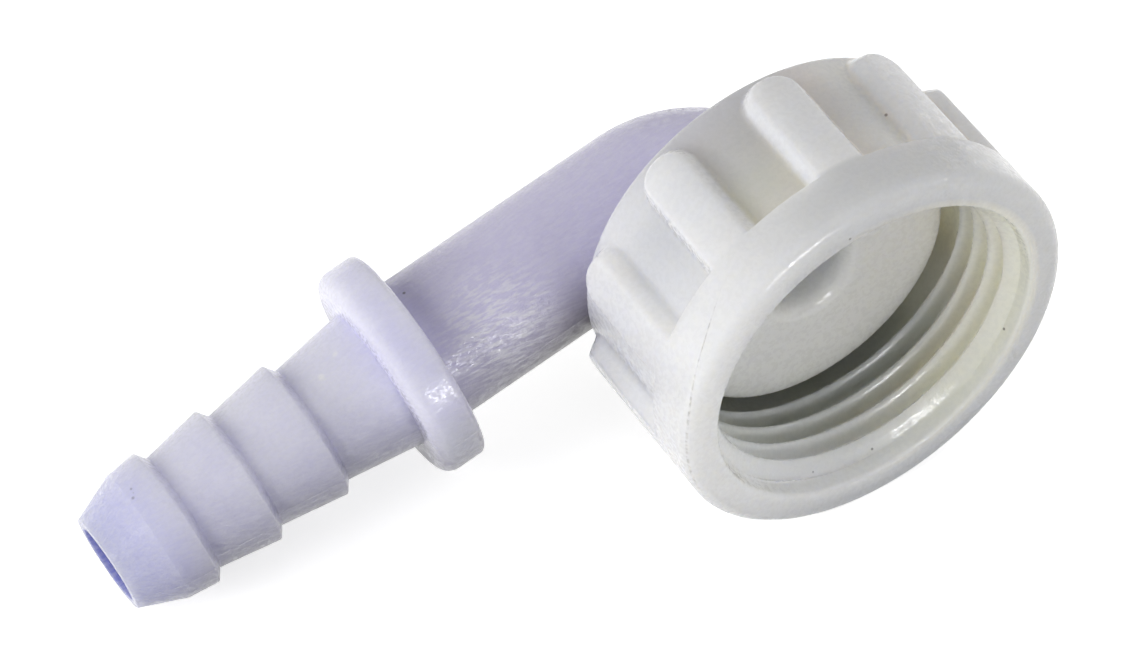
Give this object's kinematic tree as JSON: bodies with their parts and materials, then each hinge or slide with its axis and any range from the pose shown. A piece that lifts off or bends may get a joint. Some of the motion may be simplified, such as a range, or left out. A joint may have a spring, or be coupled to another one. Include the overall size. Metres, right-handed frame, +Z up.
{
  "type": "barbed elbow fitting",
  "caption": "Moulded right-angle hose elbow with a ridged barb, a stop collar and a ribbed swivel nut with a female pipe thread.",
  "frame": {"origin": "on the swivel nut's axis, at the plane where its internal thread starts", "axes": "-Y out of the nut's mouth; the hose tail runs towards -X and leans down so that its barb touches the table; +Z up"},
  "size_m": [0.0685, 0.0309, 0.0324],
  "materials": {
    "elbow_plastic": "satin, slightly translucent, bluish natural white",
    "nut_plastic": "satin, slightly translucent, warm natural white"
  },
  "bodies": {
    "elbow": {"hose_elbow": "elbow_plastic"},
    "nut": {"swivel_nut": "nut_plastic"}
  },
  "joints": [
    {"name": "nut_swivel", "type": "hinge", "parent": "elbow", "child": "nut", "pos_m": [0, 0, 0], "axis": [0, -1, 0], "continuous": true}
  ]
}
